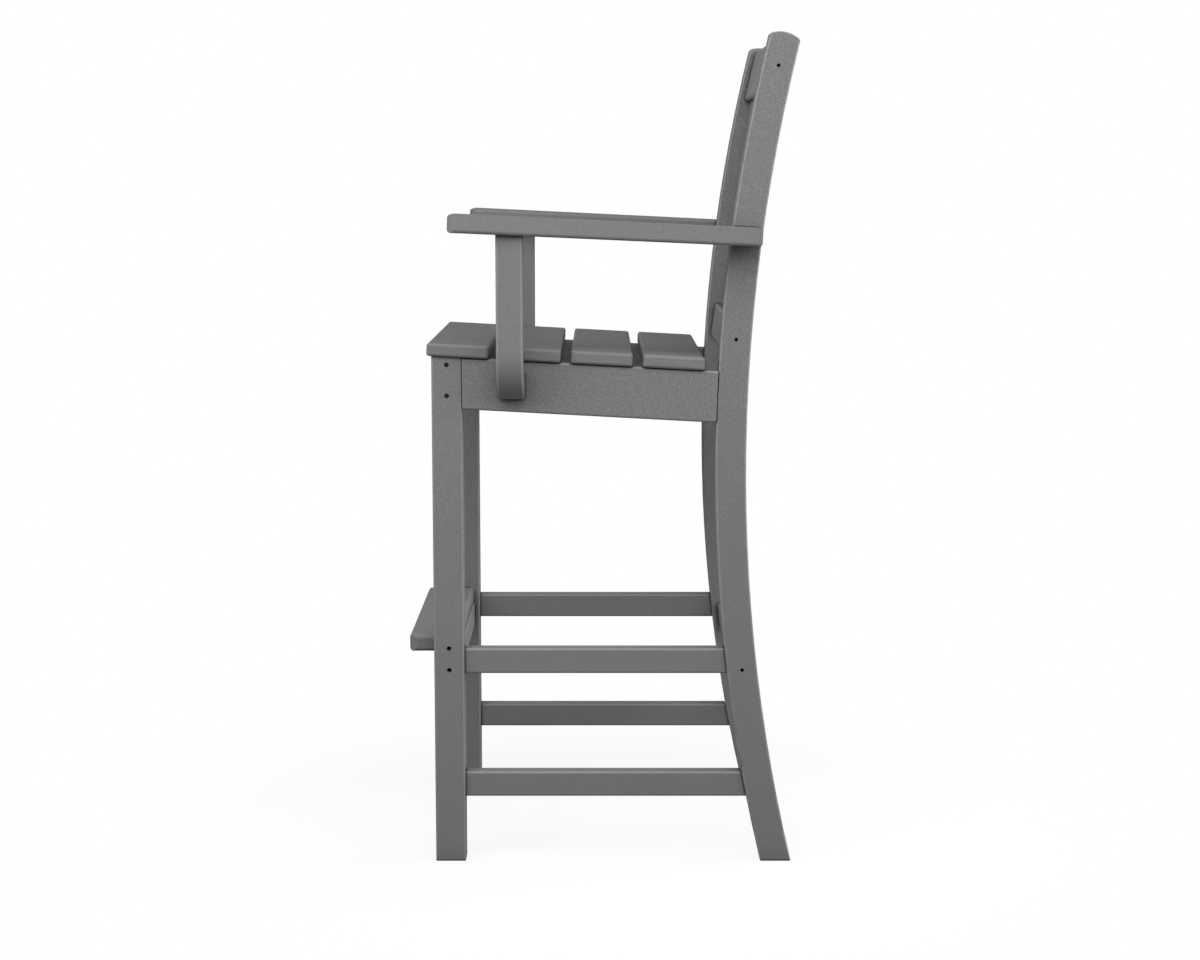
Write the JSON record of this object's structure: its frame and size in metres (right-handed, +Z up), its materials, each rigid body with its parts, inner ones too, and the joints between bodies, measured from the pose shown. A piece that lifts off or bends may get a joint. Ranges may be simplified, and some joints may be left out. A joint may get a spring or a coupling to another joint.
{
  "type": "bar armchair",
  "caption": "Bar-height outdoor armchair of grey plastic lumber, with a slatted seat and back, flat tapered arms on curved brackets, side rails and a footrest board.",
  "frame": {"origin": "middle of the footprint on the floor, under the centre of the bounding box", "axes": "+Z up; the sitter faces -Y, so the back is at +Y; +X is the sitter's left"},
  "size_m": [0.6482, 0.5726, 1.225],
  "materials": {
    "legs_and_posts": "fine lengthwise grain, matte",
    "seat_boards": "fine lengthwise grain, matte",
    "back_boards": "fine lengthwise grain, matte",
    "arm_boards": "fine lengthwise grain, matte",
    "rails": "fine lengthwise grain, matte",
    "screws": "satin"
  },
  "bodies": {
    "root": {"front_leg_left": "legs_and_posts", "front_leg_right": "legs_and_posts", "back_post_left": "legs_and_posts", "back_post_right": "legs_and_posts", "side_apron_left": "rails", "side_apron_right": "rails", "front_apron": "rails", "seat_slat_1": "seat_boards", "seat_slat_2": "seat_boards", "seat_slat_3": "seat_boards", "seat_slat_4": "seat_boards", "arm_left": "arm_boards", "arm_right": "arm_boards", "arm_bracket_left": "arm_boards", "arm_bracket_right": "arm_boards", "back_top_rail": "back_boards", "back_lower_rail": "back_boards", "back_slat_1": "back_boards", "back_slat_2": "back_boards", "back_slat_3": "back_boards", "back_slat_4": "back_boards", "back_slat_5": "back_boards", "side_rail_upper_left": "rails", "side_rail_upper_right": "rails", "side_rail_lower_left": "rails", "side_rail_lower_right": "rails", "front_stretcher": "rails", "footrest_board": "seat_boards", "rear_stretcher": "rails", "front_apron_screws": "screws", "front_stretcher_screws": "screws", "footrest_screws": "screws", "back_rail_screws": "screws", "rear_stretcher_screws": "screws", "side_front_screws": "screws", "side_rear_screws": "screws", "arm_post_screws": "screws", "arm_top_screws": "screws", "bracket_foot_screws": "screws", "front_slat_screws": "screws", "seat_slat_screws": "screws", "back_slat_screws": "screws"}
  },
  "joints": []
}
